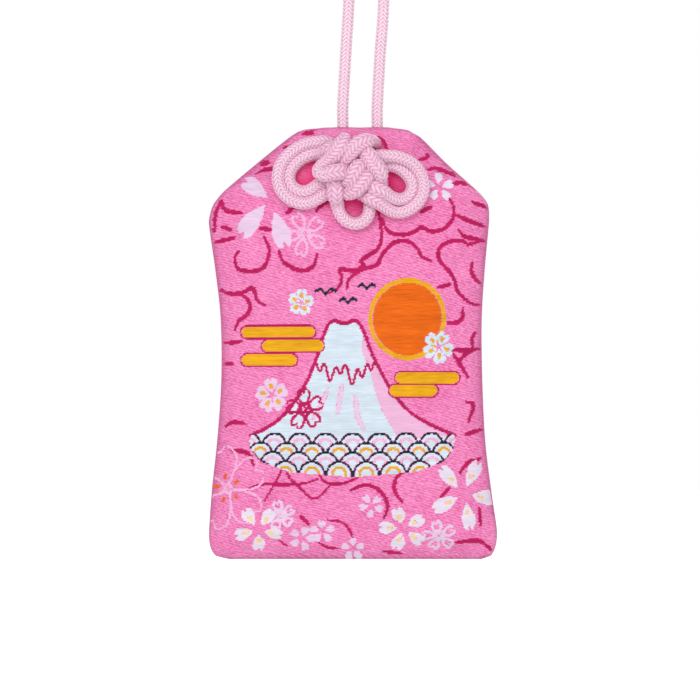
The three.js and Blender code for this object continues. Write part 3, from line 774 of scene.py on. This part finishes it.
# Cloud lines and blossoms of the front, as pixels of the photograph
CLOUD_LINES = [
    [(238, 252), (233.5, 258), (236, 269), (252, 272), (265, 267), (270, 252), (265, 238)],
    [(221, 200), (215, 215), (212, 231)],
    [(221, 201), (225, 210), (234, 213), (243, 214)],
    [(213, 242), (232, 239)],
    [(220, 227), (230, 230)],
    [(261, 230), (272, 231.5)],
    [(288, 215), (294, 211)],
    [(317, 214), (322, 208), (331, 202)],
    [(224, 343), (238, 341.5)],
    [(223.5, 363.5), (229, 364)],
    [(449, 349), (465, 350), (482, 349)],
    [(454, 351), (461, 361), (471, 377)],
    [(461, 363), (468, 355), (477, 349.5)],
    [(478, 332), (475, 340), (476, 348)],
    [(280, 252), (284, 263), (299, 272), (313, 269), (318, 256)],
    [(378, 216), (381, 239), (376, 252), (361, 262), (363, 267), (355, 273), (340, 271), (342, 279),
     (339, 289), (330, 294)],
    [(347, 291), (349, 281), (363, 271), (376, 267), (382, 256), (393, 245), (406, 243), (416, 250),
     (421, 258), (430, 262)],
    [(381, 221), (388, 234), (403, 237), (415, 233), (420, 229), (430, 233), (443, 230), (452, 219),
     (452, 206), (445, 196)],
    [(420, 214), (430, 209)],
    [(428, 171), (437, 168), (451, 171), (456, 174)],
    [(451, 183), (462, 182), (469, 183), (476, 188)],
    [(472, 202), (487, 207)],
    [(454, 216), (468, 221), (487, 226)],
    [(458, 231), (466, 237), (485, 240)],
    [(485, 241), (470, 245), (465, 242), (447, 243), (438, 252), (441, 263), (454, 277), (460, 292),
     (472, 302), (481, 305)],
    [(475, 263), (475, 273), (482, 283)],
    [(439, 288), (451, 285)],
    [(466, 309), (465, 319), (456, 323), (445, 322)],
    [(219, 290), (225, 294), (238, 294), (250, 289), (255, 301), (263, 306)],
    [(238, 295), (246, 302), (246, 313), (236, 321), (232, 330)],
    [(303, 134), (313, 131)],
    [(283, 146), (291, 144)],
    [(254, 171), (263, 167), (274, 168)],
    [(259, 162), (267, 160)],
    [(370, 137), (382, 141), (387, 151)],
    [(430, 151), (429, 156), (420, 160)],
    [(228, 450), (247, 453), (253, 465)],
    [(223, 426), (230, 422), (242, 423)],
    [(301, 516), (309, 525)],
    [(350, 489), (366, 483), (380, 490), (387, 504), (384, 519)],
    [(403, 470), (395, 477), (394, 489), (401, 500)],
    [(483, 459), (471, 462), (461, 472)],
    [(449, 487), (440, 495)],
    [(480, 508), (480, 524)],
    [(455, 542), (477, 540), (491, 550)],
    [(469, 402), (477, 405), (472, 421)],
    [(469, 434), (483, 430)],
]
BRANCH_LINES = [
    [(245, 490), (257, 484.5), (267, 483), (291, 483), (307, 481), (319, 477)],
    [(266, 499), (276, 482), (285, 467), (291, 477), (301, 486), (314, 497), (324, 491), (332, 481)],
    [(320, 473), (326, 480), (341, 482), (357, 476)],
    [(328, 521), (341, 524), (350, 534), (353, 544)],
    [(280, 542), (287, 548)],
    [(319, 546), (328, 551), (338, 552)],
    [(383, 555), (402, 557)],
]
# x, y, radius, turn, style, half width of a petal by the radius, colour, colour of the petals' marks
FRONT_BLOSSOMS = [
    (305.5, 236.5, 23, 42, "outline", 0.3, "pale", None),
    (439, 188, 16, 20, "parted", 0.26, "blush", None),
    (225.5, 488, 43, 32, "fine outline", 0.38, "pale", "orange"),
    (281, 514, 16, 30, "outline", 0.34, "lilac", None),
    (259.5, 528, 25, 53, "parted", 0.26, "blush", "straw"),
    (302.5, 541, 14, 70, "parted", 0.28, "lilac", None),
    (322.5, 534, 13, 20, "parted", 0.28, "lilac", None),
    (371, 506, 13, 50, "parted", 0.28, "lilac", None),
    (438.5, 536, 18, 32, "outline", 0.32, "lilac", None),
    (403, 530, 25, 36, "parted", 0.27, "blush", "straw"),
    (464.5, 493, 37, 61, "parted", 0.19, "blush", "straw"),
    (353, 552, 12, 90, "parted", 0.28, "lilac", None),
]
# Loose petals: x, y, length and turn
PETALS = [(271, 201, 37, 143), (268.5, 204, 44, 230), (274, 210, 42, -72)]
BACK_BLOSSOMS = [
    (270, 200, 26, 15, "parted", 0.25, "blush", "straw"),
    (430, 215, 19, 50, "outline", 0.32, "pale", None),
    (330, 300, 33, 70, "parted", 0.2, "blush", "straw"),
    (420, 380, 28, 20, "fine outline", 0.36, "pale", "orange"),
    (265, 400, 18, 40, "whole", 0.36, "lilac", None),
    (470, 490, 35, 35, "parted", 0.2, "blush", "straw"),
    (240, 500, 34, 10, "fine outline", 0.36, "pale", "orange"),
    (350, 520, 21, 60, "parted", 0.27, "blush", "straw"),
    (395, 470, 13, 5, "parted", 0.28, "lilac", None),
    (300, 455, 14, 25, "outline", 0.33, "lilac", None),
]


def draw_lines(loom, lines, width, move=lambda x, y: (x, y)):
    for line in lines:
        loom.stroke([px(*move(x, y)) for x, y in line], width, "rose", swell=0.5)


def draw_blossom(loom, x, y, radius, *rest):
    loom.flower(*px(x, y), radius * PX, *rest)


def draw_waves(loom, water):
    """Rows of scallops, each over the last."""
    radius = 2.3
    for row in range(4):
        odd = row % 2
        v = -55.0 - 1.6 * row
        rings = ((radius, "navy"), (1.9, "white"), (1.35, "gold" if odd else "pale"), (0.9, "white"))
        for column in range(-5, 6):
            away = np.hypot(GRID_U - 0.2 - 2 * radius * (column + odd / 2), GRID_V - v)
            for reach, colour in rings:
                loom.paint(water & (GRID_V > v - 1.7) & (away < reach), colour)


# The picture in the middle, as u and v
SUN = (9.8, -33.4)
SLOPE = [(-18.0, -53.4), (-13.0, -50.6), (-9.2, -46.2), (-6.2, -40.4), (-4.6, -35.6), (-3.2, -33.8),
         (-1.2, -34.3), (0.6, -33.7), (2.0, -35.4), (3.8, -40.0), (7.2, -45.8), (11.8, -50.4), (18.4, -53.4)]
SHORE = [(18.2, -55.6), (16.0, -57.9), (11.0, -59.5), (0.2, -60.3), (-10.6, -59.5), (-15.6, -57.9),
         (-17.8, -55.6)]
SHADED_SIDE = SLOPE[8:] + [(8.0, -53.8), (5.4, -49.0), (4.0, -45.6), (3.2, -42.0), (1.8, -39.0)]
SNOW_LINE = [(-6.3, -40.6), (-5.5, -42.3), (-4.7, -41.0), (-3.8, -44.0), (-2.7, -41.6), (-1.9, -42.8),
             (-1.0, -41.2), (0.1, -44.6), (1.0, -41.9), (1.8, -43.4), (2.7, -41.0), (3.3, -42.2),
             (4.0, -40.4)]
GULLIES = [[(-4.2, -45.4), (-5.2, -48.0), (-6.6, -50.4)], [(-1.6, -44.6), (-2.0, -47.2), (-2.4, -49.4)],
           [(0.6, -46.4), (1.0, -49.6), (2.0, -52.2)]]
WATER_TOP = -52.6
MIST = [(-13.0, -35.6, 5.6), (-10.4, -38.0, 4.6), (-14.6, -40.4, 4.0), (13.4, -43.4, 4.8), (11.0, -45.6, 3.4)]
BIRDS = [(-4.4, -29.2, 1.7), (-0.6, -30.8, 1.4), (2.6, -28.4, 1.4)]


def draw_landscape(loom):
    """Sun, mist, birds, and a mountain over scalloped waves."""
    loom.disc(*SUN, 7.0, "gold")
    loom.disc(*SUN, 6.2, "orange")
    land = loom.polygon(SLOPE + SHORE, "white")
    loom.polygon(SHADED_SIDE, "pale")
    loom.stroke(SNOW_LINE, BRANCH_LINE, "rose")
    for gully in GULLIES:
        loom.stroke(gully, LINE, "lilac", swell=0.5)
    loom.stroke(SLOPE, LINE, "rose")
    draw_waves(loom, land & (GRID_V < WATER_TOP))
    for u, v, half in MIST:
        for width, colour in ((2.5, "rose"), (1.9, "gold")):
            loom.stroke([(u - half, v), (u + half, v)], width, colour)
    loom.flower(-8.2, -48.8, 3.7, 25, "outline", 0.36, "rose")
    loom.flower(15.4, -38.2, 2.9, 60, "whole", 0.4, "white", "gold")
    loom.flower(-14.2, -46.4, 3.0, 25, "whole", 0.4, "lilac", "gold")
    loom.flower(-8.8, -30.6, 2.4, 10, "whole", 0.4, "white", "gold")
    for u, v, span in BIRDS:
        for hand in (-1, 1):
            loom.stroke([(u, v), (u + hand * span / 2, v + 0.8), (u + hand * span, v + 0.5)], 0.5, "navy")


def front_figures():
    loom = Loom()
    draw_lines(loom, CLOUD_LINES, LINE)
    draw_lines(loom, BRANCH_LINES, BRANCH_LINE)
    for blossom in FRONT_BLOSSOMS:
        draw_blossom(loom, *blossom)
    for petal in PETALS:
        draw_blossom(loom, *petal, "spray", 0.22, "lilac", None, range(1))
    draw_landscape(loom)
    return loom.cells


def back_figures():
    """The same lines mirrored, a few of them again in the middle, and scattered blossoms."""
    loom = Loom()
    mirror = 2 * PHOTO_MOUTH[0]
    draw_lines(loom, CLOUD_LINES, LINE, lambda x, y: (mirror - x, y))
    draw_lines(loom, BRANCH_LINES, BRANCH_LINE, lambda x, y: (mirror - x, y))
    repeated = [line for line in CLOUD_LINES if len(line) > 9]
    draw_lines(loom, repeated, LINE, lambda x, y: (x - 70, y + 120))
    draw_lines(loom, repeated, LINE, lambda x, y: (mirror - x + 20, y + 150))
    for blossom in BACK_BLOSSOMS:
        draw_blossom(loom, *blossom)
    return loom.cells


# Across a float: places by the pick, and shares of its height, with its edges sunk in the ground
RIBBON = ((-0.64, 0.0), (-0.3, 0.85), (0.3, 0.85), (0.64, 0.0))
FLOAT_RISE = 0.1
FLOAT_STEP = 0.42
SHORTEST_FLOAT = 0.12
RAGGED = 0.1
END_TAPER = 0.15
EDGE_MARGIN = 0.1
EDGE_SINK = 0.03
BINDING = 1.74
BINDING_DIP = 0.45


def float_runs(cells):
    """Each unbroken stretch of a colour on a pick, by colour: u, v and height along it."""
    rng = np.random.default_rng(7)
    runs = {}
    for pick, line in enumerate(cells):
        v = PICK_V[pick]
        left, right = edges(v)
        cuts = np.flatnonzero(np.diff(line)) + 1
        for first, last in zip([0, *cuts], [*cuts, len(line)]):
            if line[first] == 0:
                continue
            begin = max(CELL_U[first] - CELL / 2 + rng.uniform(-RAGGED, RAGGED), left + EDGE_MARGIN)
            end = min(CELL_U[last - 1] + CELL / 2 + rng.uniform(-RAGGED, RAGGED), right - EDGE_MARGIN)
            if end - begin < SHORTEST_FLOAT:
                continue
            u = np.linspace(begin, end, max(3, int((end - begin) / FLOAT_STEP) + 2))
            ends = np.clip(np.minimum(u - begin, end - u) / END_TAPER, 0, 1)
            bound = 0.5 + 0.5 * np.cos((u / BINDING + pick * 0.4) * 2 * math.pi)
            height = FLOAT_RISE * ends * (1 - BINDING_DIP * bound ** 6)
            runs.setdefault(COLOURS[line[first]], []).append((u, np.full(len(u), v), height))
    return runs


def weave(cells, cloth, side, where):
    """Raised ribbons of weft on one side's cloth, an object for each colour."""
    reach = 0.15
    width = len(RIBBON)
    for colour, runs in float_runs(cells).items():
        u, v, height = [np.concatenate(values) for values in zip(*runs)]
        along = on_cloth(cloth, u + reach, v) - on_cloth(cloth, u - reach, v)
        up = on_cloth(cloth, u, v + reach) - on_cloth(cloth, u, v - reach)
        normal = unit(np.cross(along, up))
        normal *= np.where(normal[:, 1] * side < 0, -1, 1)[:, None]
        rails = []
        for shift, share in RIBBON:
            lift = share * height if share else np.full(len(u), -EDGE_SINK)
            rails.append(on_cloth(cloth, u, v + shift * PICK) + normal * lift[:, None])
        lasts = np.cumsum([len(run[0]) for run in runs]) - 1
        starts = np.setdiff1d(np.arange(len(u)), lasts) * width
        faces = [np.stack([starts + k, starts + width + k, starts + width + k + 1, starts + k + 1], -1)
                 for k in range(width - 1)]
        faces = np.concatenate(faces)[:, ::-side].tolist()
        obj = new_object(f"weft_{colour}_{where}", np.stack(rails, 1).reshape(-1, 3), faces, THREADS[colour])
        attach(obj, "pouch")


weave(front_figures(), FRONT, -1, "front")
weave(back_figures(), BACK, 1, "back")


# Cords: eight stripes of slanted stitches round a core, leaning left and right by turns
SIDES = 48
STRIPES = 8
STITCH = 0.68
LEAN = 1.15
RING_STEP = 0.11
# Shares of a cord's radius: in the grooves, added on the crests, and how far pressing widens and flattens it
GROOVE = 0.91
CREST = 0.14
WIDENED = 0.36
FLATTENED = 0.12
# How much painted pink light, bounced from the cloth, a knotted cord takes on, and what pressing adds to that
KNOT_PAINTED_BOUNCE = 0.57
PRESS_PAINTED_BOUNCE = 0.43


def turning_frames(tangent):
    """Directions across a line that turn with it and don't twist."""
    normal = np.array([0, -1.0, 0]) if abs(tangent[0][1]) < 0.9 else np.array([1.0, 0, 0])
    frames = []
    for ahead in tangent:
        normal = unit(normal - ahead * (normal @ ahead))
        frames.append(normal)
    return np.array(frames), np.cross(tangent, frames)


def braid(name, points, radius, start=0.0, closed_top=False, pressed=None):
    """A braided cord along the points; its stitches go on from the given start."""
    line = even(points, RING_STEP)
    run = run_along(line)
    tangent = unit(np.gradient(line, axis=0))
    over, beside = turning_frames(tangent)
    around = np.linspace(0, 2 * math.pi, SIDES, endpoint=False)
    stripe = around / (2 * math.pi) * STRIPES
    part = stripe % 1
    lean = np.where(np.floor(stripe) % 2 == 0, part, 1 - part)
    stitch = np.abs(np.sin(math.pi * ((run + start)[:, None] / STITCH + LEAN * lean))) ** 0.8
    # The stitch relief, which shapes the cord and sets its painted highlight and shade
    lay = stitch * (0.35 + 0.65 * np.sqrt(1 - 0.85 * (2 * part - 1) ** 2))
    reach = radius * (GROOVE + CREST * lay)
    if closed_top:
        left_over = np.clip((run[-1] - run) / (0.5 * radius), 0, 1)
        reach *= np.sqrt(np.clip(1 - (1 - left_over) ** 2, 0.02, 1))[:, None]
    offset = np.cos(around)[None, :, None] * over[:, None] + np.sin(around)[None, :, None] * beside[:, None]
    offset *= reach[..., None]
    warm = np.zeros(len(line))
    if pressed is not None:
        press = pressed(line)
        # Painted pink bounce light: some over the whole knot, more where it is pressed
        warm = KNOT_PAINTED_BOUNCE + PRESS_PAINTED_BOUNCE * press
        level = np.cross(tangent, [0, 1.0, 0])
        share = press * smooth(0.4, 0.8, np.linalg.norm(level, axis=1))
        level = unit(level)
        offset += WIDENED * share[:, None, None] * (offset @ level[..., None]) * level[:, None]
        offset[..., 1] *= 1 - FLATTENED * share[:, None]
    count = len(line)
    index = np.arange(count * SIDES).reshape(count, SIDES)
    ahead = np.roll(index, -1, 1)
    faces = np.stack([index[:-1], ahead[:-1], ahead[1:], index[1:]], -1).reshape(-1, 4).tolist()
    faces += [(count * SIDES, b, a) for a, b in zip(index[0].tolist(), ahead[0].tolist())]
    faces += [(count * SIDES + 1, a, b) for a, b in zip(index[-1].tolist(), ahead[-1].tolist())]
    verts = np.vstack([(line[:, None] + offset).reshape(-1, 3), line[0], line[-1]])
    obj = new_object(name, verts, faces, CORD, lay=np.append(lay.ravel(), [0.5, 0.5]),
                     warm=np.append(np.repeat(warm, SIDES), [warm[0], warm[-1]]))
    return obj, line, run[-1]


def knot_press(line):
    """How far the cord is pressed flat: fully in the woven middle, and slightly in the loops."""
    u, v = line[:, 0] - POUCH_X, line[:, 2] - MOUTH_Z
    middle = (1 - smooth(3.5, 6.5, np.abs(u - 0.4))) * (1 - smooth(4.5, 7.0, np.abs(v + 7.5)))
    return 0.15 + 0.85 * middle


def tie_knot():
    knot = braid("knot_cord", KNOT_LINE, KNOT_R, pressed=knot_press)[0]
    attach(knot, "pouch")
    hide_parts("ornamental_knot")


# One turn of the overhand that ties both strands together: across, up and depth, in shares of its size
OVERHAND_ROUTE = [
    (0.2, -3.4, -0.2), (0.6, -2.4, -0.7), (0.9, -1.5, -1.0), (0.1, -0.8, -0.6), (-1.0, 0.0, 0.9),
    (-1.9, 0.9, 0.9), (-1.8, 1.8, 0.4), (-0.9, 2.1, -0.4), (0.4, 1.7, -1.0), (1.5, 1.0, -0.6),
    (1.9, 0.0, 0.0), (1.5, -1.0, 0.6), (0.4, -1.7, 1.0), (-0.9, -2.1, 0.4), (-1.8, -1.8, -0.4),
    (-1.9, -0.9, -0.9), (-1.0, 0.0, -0.9), (0.1, 0.8, 0.6), (0.9, 1.5, 1.0), (0.6, 2.4, 0.7),
    (0.2, 3.4, 0.2),
]
# A strand between the mouth and the end knot: share of its rise, share of its spread and sideways drift
STRAND_ROUTE = [(0.05, 1, 0), (0.2, 1, 0.4), (0.42, 1, 1), (0.7, 0.8, 0.6)]
STRAND_SPREAD = 3.0
STRAND_DRIFT = 1.1
PAIR_HALF = 1.1
END_KNOT_Z = 6.5
END_KNOT_SIZE = 1.6
END_KNOT_DEEP = 2.0
TAIL = 8.6
HANG_STEP = 0.6
STRAND_INSIDE = 4.6
KNOTTED_BELOW = 8


def strand_route(hand):
    rise = TOP_Z - HINGE_Z
    foot = hand * STRAND_SPREAD
    points = [(foot, 0, MOUTH_Z - STRAND_INSIDE), (foot, 0, MOUTH_Z - 2), (foot, 0, HINGE_Z)]
    for share, spread, drift in STRAND_ROUTE:
        points.append((spread * foot + drift * STRAND_DRIFT, 0, HINGE_Z + share * rise))
    return points


def end_route(hand):
    """A strand's way through the end knot, where the pair turns from side by side to front and back."""
    points = [(hand * 1.15, 0, TOP_Z - below) for below in (4, 1.5, -1.6)]
    last = len(OVERHAND_ROUTE) - 1
    for k, (across, up, deep) in enumerate(OVERHAND_ROUTE):
        angle = smooth(0, 3, min(k, last - k)) * math.pi / 2
        x = across * END_KNOT_SIZE + hand * PAIR_HALF * math.cos(angle)
        y = deep * END_KNOT_DEEP + hand * PAIR_HALF * math.sin(angle)
        points.append((x, y, END_KNOT_Z + up * END_KNOT_SIZE))
    top = END_KNOT_Z + OVERHAND_ROUTE[-1][1] * END_KNOT_SIZE
    points += [(hand * (1.3 + 1.2 * share), hand * 0.6 * share, top + TAIL * share) for share in (0.35, 1)]
    return points


def hang_cord(name, points, start, far_end, replaced):
    """A free cord in place of a part, closed at a bare far end; gives its length."""
    obj, line, length = braid(name, points, CORD_R, start, closed_top=far_end == "bare")
    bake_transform(obj)
    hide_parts(replaced)
    return length


def hang_cords():
    chains = []
    for hand in (-1, 1):
        line = even(strand_route(hand) + end_route(hand), HANG_STEP)
        chains.append((line, int(np.argmax(line[:, 2] > TOP_Z - KNOTTED_BELOW)), 3))
    lines = settle(chains, 2 * CORD_R * 0.97, HANG_STEP, 0.03)
    for side, settled in zip(("left", "right"), lines):
        line = even(settled, 0.2)
        cut = int(np.argmax(line[:, 2] > SPLIT_Z))
        below = hang_cord(f"{side}_strand_cord", line[:cut + 1], 0.0, "object", f"{side}_strand")
        hang_cord(f"{side}_end_cord", line[cut:], below, "bare", f"end_knot_{side}")


tie_knot()
hang_cords()

scene.view_settings.view_transform = "Standard"
